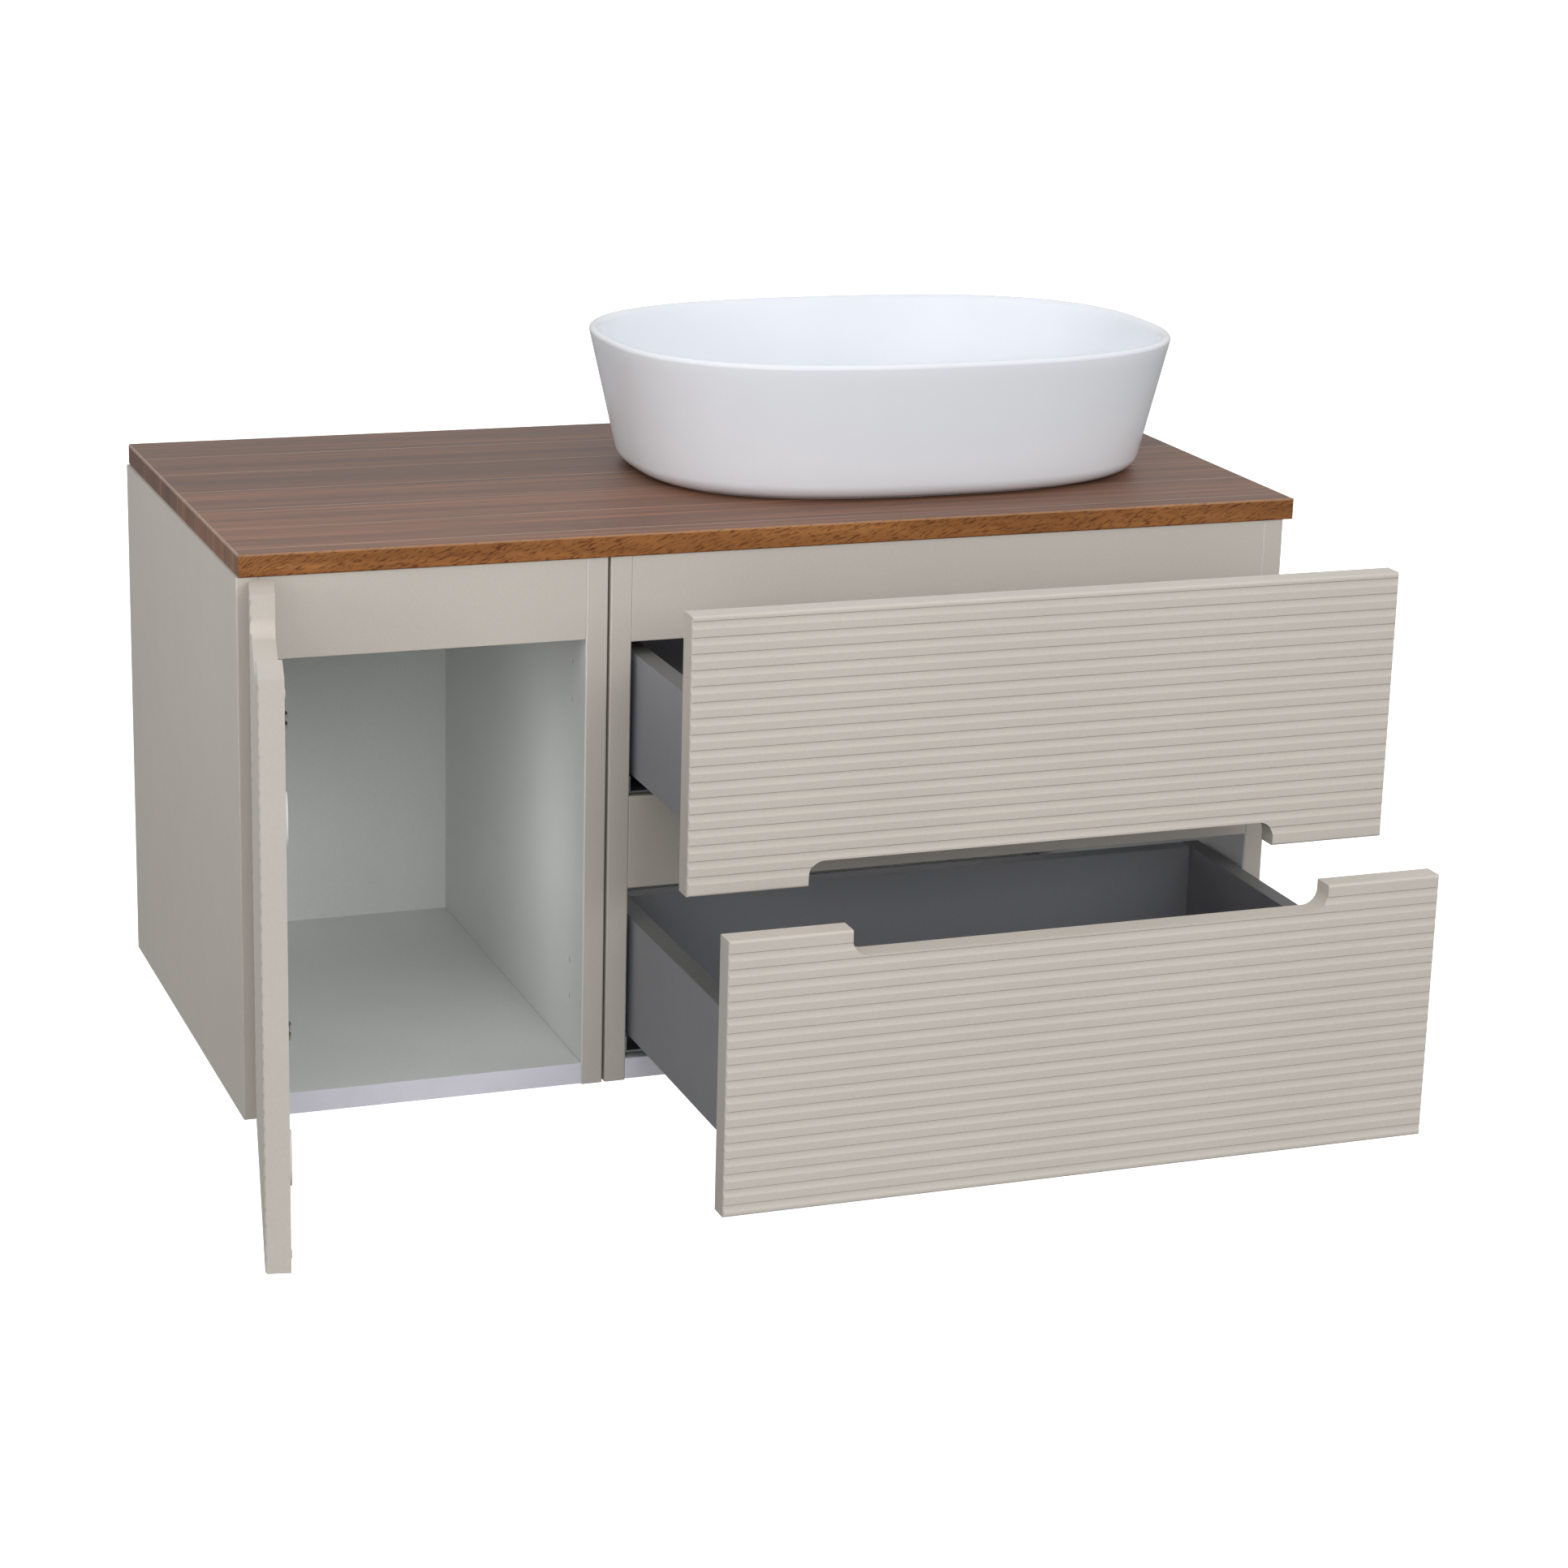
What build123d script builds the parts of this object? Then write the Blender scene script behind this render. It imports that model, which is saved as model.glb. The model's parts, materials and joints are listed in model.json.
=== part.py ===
from build123d import *
from math import copysign, cos, pi, sin
import os

# Wall-hung vanity with one door, two drawers and a countertop basin. Millimetres, +Z up.
# The origin is in the wall plane (Y = 0), mid-width of the carcass, at the height of the wall screws.
# The front of the vanity faces -Y. The door and both drawers are modelled open, at their rest pose.

# Carcass
underside = -405.0
carcass_height = 445.0
carcass_depth = 445.0
board = 18.0
carcass_left = -450.0
unit_split = -150.0
unit_gap = 2.0
carcass_right = 450.0
bottom_lift = 0.8
board_edge_radius = 1.5
cupboard_apron_height = 66.5
drawer_apron_height = 70.5
mid_rail_bottom = 167.0
mid_rail_height = 78.0
rail_height = 80.0
back_thickness = 3.0
wall_screw_radius = 4.0
wall_screw_inset = 40.0
carcass_front = -carcass_depth
carcass_top = underside + carcass_height
drawer_unit_left = unit_split + unit_gap

# Fittings of the carcass
bolt_radius = 2.5
bolt_hole_radius = 2.6
bolt_head_radius = 8.0
bolt_head_thickness = 2.0
bolt_inset = 60.0
bolt_height = 412.0
bracket_leg = 20.0
bracket_sheet = 2.0
bracket_half_width = 8.0
bracket_inset = 130.0

# Countertop
top_thickness = 18.0
top_left = -448.0
top_right = 458.0
top_front = carcass_front - 2.0
band_thickness = 2.0
top_edge_radius = 1.6
top_level = carcass_top + top_thickness

# Door and drawer fronts
front_thickness = 19.0
front_gap = 2.0
front_back_face = carcass_front - front_gap
front_face = front_back_face - front_thickness
front_height = 220.5
front_split = 3.5
front_side_reveal = 1.0
front_edge_radius = 2.2
flute_pitch = 12.54
flute_width = 6.4
flute_depth = 1.2
flute_flank = 0.8
flute_upper_lip = 0.3
flute_lower_lip = 0.7
flute_land = 3.8
front_flutes = 17
door_flutes = 35
notch_depth = 20.5
notch_radius = 13.0
notch_left = -50.0
notch_width = 400.0
door_notch_from_hinge_edge = 47.0
door_swing_edge_radius = 1.5
door_notch_width = 196.0
door_notch_depth = 32.0

# Door hinges
door_height = 2 * front_height + front_split
door_open_angle = 101.3
pivot_from_side = 9.8
pivot_from_front = 17.5
hinge_heights = (81.0, 336.0)
cup_radius = 17.5
cup_depth = 12.5
cup_wall = 1.5
cup_from_edge = 22.5
cup_ear_spacing = 48.0
plate_hole_spacing = 32.0
plate_hole_setback = 37.0
plate_hole_radius = 2.5
plate_hole_depth = 11.0
arm_width = 12.0
arm_thickness = 7.0
arm_reach = 4.0
plate_thickness = 4.0
plate_wing = 1.5
plate_length = 34.0
cup_flange = 0.6
screw_head_radius = 4.0
cap_radius = 20.5
cap_proud = 1.6
cap_neck = 8.0
bumper_radius = 4.0
bumper_thickness = 1.7
bumper_from_end = 12.0

# Drawer boxes and runners
box_board = 16.0
box_length = 356.0
box_height = 100.0
box_side_clearance = 5.0
box_side_drop = 3.0
box_above_front_bottom = 39.0
box_bottom_thickness = 12.0
lower_front_bottom = 0.0
upper_front_bottom = front_height + front_split
lower_open = 278.0
upper_open = 181.0
runner_height = 15.5
runner_sheet = 1.5
runner_length = 350.0
middle_length = 320.0
member_length = 340.0
roller_radius = 2.8
roller_length = 18.0
roller_inset = 37.0
roller_spacing = 88.0
rollers_a_side = 4
cabinet_setback = 2.0
drawer_member_setback = 4.0
middle_setback = 6.0

# Basin
basin_x = 167.0
basin_y = -220.0
basin_height = 117.0
seal_thickness = 1.0
rim_half_length = 253.0
rim_half_width = 180.5
base_half_length = 226.0
base_half_width = 160.0
outline_power = 2.6
outline_points = 36
basin_wall = 9.0
basin_floor = 14.0
foot_radius = 13.0
bowl_floor_radius = 30.0
rim_radius = 3.0
foot_ring_width = 28.0
foot_recess = 4.0
seal_setback = 15.0
seal_width = 8.0

# Waste fitting
waste_hole_radius = 23.0
flange_radius = 31.5
waste_thread_radius = 20.4
waste_tail_radius = 20.9
waste_bore_radius = 17.5
waste_length = 86.5
plug_radius = 29.0
stem_radius = 4.0
stem_clearance = 0.08
top_gasket = 1.5
flange_thickness = 2.5
under_gasket = 3.0
backnut_height = 10.0
backnut_radius = 30.0
insert_height = 12.0
insert_drop = 4.0
plug_gap = 0.3
plug_thickness = 4.0


def block(left, right, front, back, low, high):
    """A box between two X, two Y and two Z positions."""
    size = Box(right - left, back - front, high - low)
    return Pos((left + right) / 2, (front + back) / 2, (low + high) / 2) * size


def upright_rod(x, y, low, high, radius):
    return Pos(x, y, (low + high) / 2) * Cylinder(radius, high - low)


def rod_along_x(left, right, y, z, radius):
    return Pos((left + right) / 2, y, z) * Rot(0, 90, 0) * Cylinder(radius, right - left)


def rod_along_y(x, front, back, z, radius):
    return Pos(x, (front + back) / 2, z) * Rot(90, 0, 0) * Cylinder(radius, back - front)


def height(above_underside):
    """The Z position of a height measured from the carcass underside."""
    return underside + above_underside


# ---------------------------------------------------------------- carcass


def side_panel(left):
    """A full-height side board whose two upright front edges are rounded."""
    panel = block(left, left + board, carcass_front, 0, underside, carcass_top)
    front_edges = panel.edges().filter_by(Axis.Z).group_by(Axis.Y)[0]
    return fillet(front_edges, board_edge_radius)


def drill_across(panel, places, x_face, direction, radius, depth):
    """Blind holes into a side board, each at (Y, Z), from its face at x_face."""
    for y, z in places:
        ends = sorted((x_face, x_face + direction * depth))
        panel = panel - rod_along_x(ends[0], ends[1], y, z, radius)
    return panel


def hinge_plate_holes():
    """The (Y, Z) places of the two hinge plates' screw holes."""
    y = carcass_front + plate_hole_setback
    offsets = (-plate_hole_spacing / 2, plate_hole_spacing / 2)
    return [(y, height(middle) + offset) for middle in hinge_heights for offset in offsets]


def connector_places():
    """The (Y, Z) places of the two bolts that join the units."""
    return [(y, height(bolt_height)) for y in (carcass_front + bolt_inset, -bolt_inset)]


def bolted(panel, left):
    """A side board with the through holes of the unit connector bolts."""
    for y, z in connector_places():
        panel = panel - rod_along_x(left - 1, left + board + 1, y, z, bolt_hole_radius)
    return panel


def cupboard_left_side():
    panel = side_panel(carcass_left)
    inner = carcass_left + board
    return drill_across(panel, hinge_plate_holes(), inner, -1, plate_hole_radius, plate_hole_depth)


def cupboard_right_side():
    left = unit_split - board
    panel = side_panel(left)
    panel = drill_across(panel, hinge_plate_holes(), left, 1, plate_hole_radius, plate_hole_depth)
    return bolted(panel, left)


def drawer_unit_left_side():
    return bolted(side_panel(drawer_unit_left), drawer_unit_left)


def drawer_unit_right_side():
    return side_panel(carcass_right - board)


def bottom_panel(left, right, back):
    low = underside + bottom_lift
    return block(left + board, right - board, carcass_front, back, low, low + board)


def apron(left, right, tall):
    front = carcass_front
    return block(left + board, right - board, front, front + board, carcass_top - tall, carcass_top)


def mid_rail():
    low = height(mid_rail_bottom)
    front = carcass_front
    left = drawer_unit_left + board
    right = carcass_right - board
    return block(left, right, front, front + board, low, low + mid_rail_height)


def wall_screw_places(left, right):
    return [left + board + wall_screw_inset, right - board - wall_screw_inset]


def hanging_rail(left, right):
    """The board behind the back of a unit that the wall screws pass through."""
    rail = block(left + board, right - board, -board, 0, carcass_top - rail_height, carcass_top)
    for x in wall_screw_places(left, right):
        rail = rail - rod_along_y(x, -board - 1, 1, 0, wall_screw_radius)
    return rail


def cupboard_back():
    low = underside + bottom_lift + board
    front = -board - back_thickness
    panel = block(carcass_left + board, unit_split - board, front, -board, low, carcass_top)
    for x in wall_screw_places(carcass_left, unit_split):
        panel = panel - rod_along_y(x, front - 1, -board + 1, 0, wall_screw_radius)
    return panel


def lower_back_rail():
    low = underside + bottom_lift + board
    return block(drawer_unit_left + board, carcass_right - board, -board, 0, low, low + rail_height)


def unit_connector_bolts():
    """Two bolts through both inner side boards, with a wide head at each end."""
    left = unit_split - board
    right = drawer_unit_left + board
    bolts = []
    for y, z in connector_places():
        bolt = rod_along_x(left, right, y, z, bolt_radius)
        bolt = bolt + rod_along_x(left - bolt_head_thickness, left, y, z, bolt_head_radius)
        bolt = bolt + rod_along_x(right, right + bolt_head_thickness, y, z, bolt_head_radius)
        bolts.append(bolt)
    return bolts


def countertop_brackets():
    """Steel angles that hold the countertop down to the inner faces of the side boards."""
    inner_faces = [(carcass_left + board, 1), (unit_split - board, -1)]
    inner_faces += [(drawer_unit_left + board, 1), (carcass_right - board, -1)]
    brackets = []
    for x, side in inner_faces:
        for y in (carcass_front + bracket_inset, -bracket_inset):
            upright = sorted((x, x + side * bracket_sheet))
            flat = sorted((x, x + side * bracket_leg))
            depth = (y - bracket_half_width, y + bracket_half_width)
            angle = block(*upright, *depth, carcass_top - bracket_leg, carcass_top)
            angle = angle + block(*flat, *depth, carcass_top - bracket_sheet, carcass_top)
            brackets.append(angle)
    return brackets


# ---------------------------------------------------------------- countertop


def countertop():
    board_front = top_front + band_thickness
    slab = block(top_left, top_right, board_front, 0, carcass_top, top_level)
    long_edges = slab.edges().filter_by(Axis.Y)
    slab = fillet(long_edges, top_edge_radius)
    return slab - upright_rod(basin_x, basin_y, carcass_top - 1, top_level + 1, waste_hole_radius + 1)


def countertop_front_band():
    back = top_front + band_thickness
    band = block(top_left, top_right, top_front, back, carcass_top, top_level)
    front_edges = band.edges().group_by(Axis.Y)[0]
    return fillet(front_edges, top_edge_radius)


# ---------------------------------------------------------------- basin and waste


def oval(half_length, half_width, z):
    """A superellipse face about the basin's axis."""
    points = []
    for step in range(outline_points):
        turn = 2 * pi * step / outline_points
        x = copysign(abs(cos(turn)) ** (2 / outline_power), cos(turn))
        y = copysign(abs(sin(turn)) ** (2 / outline_power), sin(turn))
        points.append((basin_x + half_length * x, basin_y + half_width * y, z))
    return make_face(Spline(*points, periodic=True))


def tapered(low, high, low_size, high_size, corner):
    """A straight-walled oval solid whose lower edge is rounded."""
    solid = loft([oval(*low_size, low), oval(*high_size, high)], ruled=True)
    return fillet(solid.edges().group_by(Axis.Z)[0], corner)


def basin():
    low = top_level + seal_thickness
    high = low + basin_height
    base_size = (base_half_length, base_half_width)
    rim_size = (rim_half_length, rim_half_width)
    shell = tapered(low, high, base_size, rim_size, foot_radius)
    share = basin_floor / basin_height
    floor_size = [a + (b - a) * share - 1.5 * basin_wall for a, b in zip(base_size, rim_size)]
    inner_rim = [size - basin_wall for size in rim_size]
    bowl = tapered(low + basin_floor, high, floor_size, inner_rim, bowl_floor_radius)
    shell = shell - bowl
    foot_size = [size - foot_ring_width for size in base_size]
    boss = upright_rod(basin_x, basin_y, low - 1, low + foot_recess + 1, 2 * waste_hole_radius)
    recess = extrude(oval(*foot_size, low), foot_recess) - boss
    shell = shell - recess
    shell = fillet(shell.edges().group_by(Axis.Z)[-1], rim_radius)
    floor = low + basin_floor
    shell = shell - upright_rod(basin_x, basin_y, floor - 3, floor + 5, flange_radius + 1)
    return shell - upright_rod(basin_x, basin_y, low - 1, floor + 5, waste_hole_radius)


def basin_seal():
    """The silicone bead under the basin's foot ring."""
    outer = [size - seal_setback for size in (base_half_length, base_half_width)]
    inner = [size - seal_width for size in outer]
    bead = extrude(oval(*outer, top_level), seal_thickness)
    return bead - extrude(oval(*inner, top_level), seal_thickness)


def ring(low, high, outer, inner):
    bore = upright_rod(basin_x, basin_y, low - 1, high + 1, inner)
    return upright_rod(basin_x, basin_y, low, high, outer) - bore


gasket_seat = top_level + seal_thickness + basin_floor - 3
flange_low = gasket_seat + top_gasket
flange_high = flange_low + flange_thickness


def waste_top_gasket():
    return ring(gasket_seat, flange_low, flange_radius - 1, waste_hole_radius)


def waste_body():
    tail_low = flange_low - waste_length
    tail_high = tail_low + 40
    body = upright_rod(basin_x, basin_y, tail_high, flange_high, waste_thread_radius)
    body = body + upright_rod(basin_x, basin_y, tail_low, tail_high, waste_tail_radius)
    body = body + upright_rod(basin_x, basin_y, flange_low, flange_high, flange_radius)
    return body - upright_rod(basin_x, basin_y, tail_low - 1, flange_high + 1, waste_bore_radius)


def waste_under_gasket():
    return ring(carcass_top - under_gasket, carcass_top, backnut_radius, waste_thread_radius + 0.1)


def waste_backnut():
    low = carcass_top - under_gasket - backnut_height
    nut = extrude(Pos(basin_x, basin_y, low) * RegularPolygon(backnut_radius, 8), backnut_height)
    bore_top = low + backnut_height + 1
    return nut - upright_rod(basin_x, basin_y, low - 1, bore_top, waste_thread_radius + 0.05)


def waste_click_insert():
    """The three-armed cartridge that guides the plug's stem."""
    low = top_level - insert_drop
    high = low + insert_height
    insert = ring(low, high, waste_bore_radius - 0.1, waste_bore_radius - 2)
    hub = upright_rod(basin_x, basin_y, low, high, 6.5)
    for turn in (0, 120, 240):
        arm = Rot(0, 0, turn) * Pos(10.8, 0, 0) * Box(11, 2.4, high - low)
        hub = hub + Pos(basin_x, basin_y, (low + high) / 2) * arm
    insert = insert + hub
    return insert - upright_rod(basin_x, basin_y, low - 1, high + 1, stem_radius + stem_clearance)


def waste_plug():
    low = flange_high + plug_gap
    cap = upright_rod(basin_x, basin_y, low, low + plug_thickness, plug_radius)
    cap = fillet(cap.edges().group_by(Axis.Z)[-1], 3)
    return cap + upright_rod(basin_x, basin_y, top_level - 12, low + 1, stem_radius)


# ---------------------------------------------------------------- fluted fronts


def is_lip(y, tall, flutes, first_land, index):
    """Whether y is the lower (index 0) or upper (index 1) lip of one of the flutes."""
    edge = tall - first_land - (0 if index else flute_width)
    steps = (edge - y) / flute_pitch
    return abs(steps - round(steps)) < 0.001 and 0 <= round(steps) < flutes


def flute_section(top):
    """One flute below the position top: a short steep flank, then a long shallow cove."""
    run = flute_width - flute_flank
    arc_radius = (run**2 + flute_depth**2) / (2 * flute_depth)
    deepest = top - flute_flank
    window = Pos(flute_depth - arc_radius, deepest - run) * Rectangle(2 * arc_radius, 2 * run)
    cove = Pos(flute_depth - arc_radius, deepest) * Circle(arc_radius) & window
    flank = Polyline((0, top), (flute_depth, deepest), (-1, deepest), (-1, top), (0, top))
    return cove + make_face(flank)


def fluted_profile(tall, flutes, first_land):
    """The upright section of a front, X along its thickness from the face, Y along its height."""
    section = Pos(front_thickness / 2, tall / 2) * Rectangle(front_thickness, tall)
    for flute in range(flutes):
        section = section - flute_section(tall - first_land - flute * flute_pitch)
    for index, radius in ((0, flute_lower_lip), (1, flute_upper_lip)):
        lips = [v for v in section.vertices() if v.X < 0.01 and 1 < v.Y < tall - 1]
        sharp = [v for v in lips if is_lip(v.Y, tall, flutes, first_land, index)]
        section = fillet(sharp, radius)
    ends = [v for v in section.vertices() if v.X < 0.01 and (v.Y < 0.01 or v.Y > tall - 0.01)]
    return fillet(ends, front_edge_radius)


def fluted_panel(left, right, bottom, tall, flutes, first_land):
    """A front in its closed place, whose flutes run across its whole width."""
    profile = fluted_profile(tall, flutes, first_land)
    plane = Plane(origin=(left, front_face, bottom), x_dir=(0, 1, 0), z_dir=(1, 0, 0))
    panel = extrude(plane * profile, right - left)
    outline = Pos((left + right) / 2, front_face) * Rectangle(right - left, 2 * front_thickness)
    corners = outline.vertices().group_by(Axis.Y)[0]
    rounded = Pos(0, front_thickness, 0) * fillet(corners, front_edge_radius)
    return panel & extrude(Pos(0, 0, bottom) * rounded, tall)


def notch(left, wide, edge, inward, deep):
    """A round-cornered finger notch that opens at the Z position edge."""
    far = edge + inward * deep
    near = edge - inward * 2 * notch_radius
    low, high = sorted((near, far))
    shape = block(left, left + wide, front_face - 5, front_back_face + 5, low, high)
    return fillet(shape.edges().filter_by(Axis.Y), notch_radius)


def drawer_front(bottom, notch_edge, inward, first_land):
    left = unit_split + front_side_reveal
    right = carcass_right - front_side_reveal
    panel = fluted_panel(left, right, height(bottom), front_height, front_flutes, first_land)
    return panel - notch(notch_left, notch_width, height(notch_edge), inward, notch_depth)


# ---------------------------------------------------------------- door

door_left = carcass_left + front_side_reveal
door_right = unit_split - front_side_reveal
pivot = (carcass_left + pivot_from_side, carcass_front - pivot_from_front)
cup_x = door_left + cup_from_edge
cap_x = door_right - cup_from_edge


def swung(shape):
    """A door part turned about the hinge pivot from its closed place to the open rest pose."""
    return Pos(*pivot, 0) * Rot(0, 0, -door_open_angle) * Pos(-pivot[0], -pivot[1], 0) * shape


def door_panel():
    panel = fluted_panel(
        door_left, door_right, height(0), door_height, door_flutes, flute_land
    )
    hinge_side_edges = panel.edges().filter_by(Axis.Z).group_by(Axis.X)[0]
    panel = fillet(hinge_side_edges.sort_by(Axis.Y)[-1], door_swing_edge_radius)
    left = door_left + door_notch_from_hinge_edge
    top = height(door_height)
    panel = panel - notch(left, door_notch_width, top, -1, door_notch_depth)
    for x in (cup_x, cap_x):
        for middle in hinge_heights:
            front = front_back_face - cup_depth
            panel = panel - rod_along_y(x, front, front_back_face + 1, height(middle), cup_radius)
    return swung(panel)


def hinge_cups():
    """Pressed cups with a thin oval flange on the door's inner face."""
    flange_face = front_back_face + cup_flange
    ear_reach = cup_ear_spacing / 2
    cups = []
    for middle in hinge_heights:
        z = height(middle)
        front = front_back_face - cup_depth + 0.2
        cup = rod_along_y(cup_x, front, front_back_face, z, cup_radius - 0.1)
        cup = cup + rod_along_y(cup_x, front_back_face, flange_face, z, cup_radius + 1.5)
        for side in (-1, 1):
            cup = cup + rod_along_y(cup_x, front_back_face, flange_face, z + side * ear_reach, 6)
        sides = (cup_x - 6, cup_x + 6)
        cup = cup + block(*sides, front_back_face, flange_face, z - ear_reach, z + ear_reach)
        hollow = cup_radius - cup_wall
        cup = cup - rod_along_y(cup_x, front + cup_wall, front_back_face + 1, z, hollow)
        cups.append(swung(cup))
    return cups


def hinge_cup_screws():
    screws = []
    face = front_back_face + cup_flange
    for middle in hinge_heights:
        for side in (-1, 1):
            z = height(middle) + side * cup_ear_spacing / 2
            screws.append(swung(rod_along_y(cup_x, face, face + 1, z, 3.3)))
    return screws


def hinge_hole_caps():
    """Cover caps pressed into the unused cup holes beside the door's free edge."""
    caps = []
    for middle in hinge_heights:
        z = height(middle)
        disc = rod_along_y(cap_x, front_back_face, front_back_face + cap_proud, z, cap_radius)
        disc = fillet(disc.edges().group_by(Axis.Y)[-1], 1)
        neck = rod_along_y(cap_x, front_back_face - cap_neck, front_back_face, z, cup_radius - 0.1)
        caps.append(swung(disc + neck))
    return caps


def bumper(x, z):
    face = front_back_face
    pad = rod_along_y(x, face, face + bumper_thickness, z, bumper_radius)
    return fillet(pad.edges().group_by(Axis.Y)[-1], 0.8)


def door_bumpers():
    x = door_right - 7.5
    return [swung(bumper(x, height(above))) for above in (bumper_from_end, door_height - bumper_from_end)]


def hinge_plates():
    """Cross-shaped mounting plates on the cupboard's left side."""
    face = carcass_left + board
    front = carcass_front + plate_hole_setback - 8
    plates = []
    for middle in hinge_heights:
        z = height(middle)
        plate = block(face, face + plate_thickness, front, front + plate_length, z - 7, z + 7)
        plate = plate + block(face, face + plate_wing, front, front + 16, z - 24, z + 24)
        plate = fillet(plate.edges().filter_by(Axis.X), 1.2)
        for side in (-1, 1):
            hole_z = z + side * plate_hole_spacing / 2
            y = carcass_front + plate_hole_setback
            plate = plate - rod_along_x(face - 1, face + 3, y, hole_z, plate_hole_radius)
        plates.append(plate)
    return plates


def hinge_plate_screws():
    face = carcass_left + board + plate_wing
    screws = []
    for y, z in hinge_plate_holes():
        screw = rod_along_x(face - 10, face, y, z, plate_hole_radius - 0.1)
        screws.append(screw + rod_along_x(face, face + 1.6, y, z, screw_head_radius))
    return screws


def hinge_arms():
    """Fixed arms that reach from the plates towards the cups."""
    face = carcass_left + board + plate_thickness
    tip = carcass_front - arm_reach
    tail = carcass_front + plate_hole_setback + 24
    arms = []
    for middle in hinge_heights:
        z = height(middle)
        arm = block(face, face + arm_thickness, tip, tail, z - arm_width / 2, z + arm_width / 2)
        outer_edges = arm.edges().group_by(Axis.X)[-1]
        arms.append(fillet(outer_edges, 2))
    return arms


# ---------------------------------------------------------------- drawers

box_left = drawer_unit_left + board + box_side_clearance
box_right = carcass_right - board - box_side_clearance


def box_side(left, low):
    front = front_back_face
    top = low + box_height
    side = block(left, left + box_board, front, front + box_length, low - box_side_drop, top)
    long_edges = side.edges().filter_by(Axis.Y).group_by(Axis.Z)[-1]
    return fillet(long_edges, 1)


def box_cross(front, low):
    """The front or back board between a box's sides."""
    left = box_left + box_board
    right = box_right - box_board
    return block(left, right, front, front + box_board, low, low + box_height)


def box_bottom(low):
    left = box_left + box_board
    right = box_right - box_board
    front = front_back_face + box_board
    back = front_back_face + box_length - box_board
    return block(left, right, front, back, low, low + box_bottom_thickness)


def bent_sheet(face, side, front, length, base, strips):
    """Sheet strips (from, to, low, high) off a side board's inner face, as one long section."""
    section = None
    for near, far, low, high in strips:
        left, right = sorted((face + side * near, face + side * far))
        strip = block(left, right, front, front + length, base + low, base + high)
        section = strip if section is None else section + strip
    return section


# Each bent sheet's walls and web, as (near, far, low, high) from the side board and the runner's base.
cabinet_strips = [
    (0, runner_sheet, 0, 14),
    (0, 55, 0, runner_sheet),
    (55 - runner_sheet, 55, 0, 7),
]
middle_strips = [
    (25, 25 + runner_sheet, 2.2, 9),
    (49 - runner_sheet, 49, 2.2, 9),
    (25, 49, 9 - runner_sheet, 9),
]
drawer_strips = [
    (22, 22 + runner_sheet, 3, runner_height),
    (52 - runner_sheet, 52, 3, runner_height),
    (22, 52, runner_height - runner_sheet, runner_height),
]
runner_faces = [(drawer_unit_left + board, 1), (carcass_right - board, -1)]


def runner_pair(strips, setback, length, low):
    """The same runner member on both sides of a drawer."""
    base = low - runner_height
    front = carcass_front + setback
    return [bent_sheet(face, side, front, length, base, strips) for face, side in runner_faces]


def runner_rollers(low):
    """Nylon rollers that the middle member runs on, four on each side."""
    z = low - runner_height + runner_sheet + roller_radius + 0.2
    rollers = []
    for face, side in runner_faces:
        centre = face + side * roller_inset
        for step in range(rollers_a_side):
            y = carcass_front + 30 + step * roller_spacing
            half = roller_length / 2
            rollers.append(rod_along_x(centre - half, centre + half, y, z, roller_radius))
    return rollers


def front_screws(low):
    """Screws that hold a drawer front to the box front, with their heads inside the box."""
    head_face = front_back_face + box_board
    screws = []
    for x in (box_left + 60, box_left + 215, box_right - 215, box_right - 60):
        z = low + box_height - 25
        screws.append(rod_along_y(x, head_face, head_face + 2, z, screw_head_radius))
    return screws


def front_bumpers(bottom):
    places = []
    for x in (drawer_unit_left + board / 2, carcass_right - board / 2):
        for above in (bumper_from_end, front_height - bumper_from_end):
            places.append((x, height(bottom + above)))
    return [bumper(x, z) for x, z in places]


def moved(shapes, opening):
    """Drawer parts drawn out of the carcass by an opening."""
    if isinstance(shapes, list):
        return [Pos(0, -opening, 0) * shape for shape in shapes]
    return Pos(0, -opening, 0) * shapes


def drawer(name, bottom, opening, notch_edge, inward, first_land):
    """Every piece of one drawer, by node name, at its rest opening."""
    low = height(bottom + box_above_front_bottom)
    travelling = {
        "front": drawer_front(bottom, notch_edge, inward, first_land),
        "box_front": box_cross(front_back_face, low),
        "box_left_side": box_side(box_left, low),
        "box_right_side": box_side(box_right - box_board, low),
        "box_back": box_cross(front_back_face + box_length - box_board, low),
        "box_bottom": box_bottom(low),
        "front_screws": front_screws(low),
        "front_bumpers": front_bumpers(bottom),
        "drawer_runners": runner_pair(drawer_strips, drawer_member_setback, member_length, low),
    }
    half_way = {
        "middle_runners": runner_pair(middle_strips, middle_setback, middle_length, low),
        "runner_rollers": runner_rollers(low),
    }
    nodes = {f"{name}_{piece}": moved(shape, opening) for piece, shape in travelling.items()}
    for piece, shape in half_way.items():
        nodes[f"{name}_{piece}"] = moved(shape, opening / 2)
    fixed = runner_pair(cabinet_strips, cabinet_setback, runner_length, low)
    nodes[f"{name}_cabinet_runners"] = fixed
    return nodes


# ---------------------------------------------------------------- all pieces

flute_span = (front_flutes - 1) * flute_pitch + flute_width
wide_land = front_height - flute_land - flute_span

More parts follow.
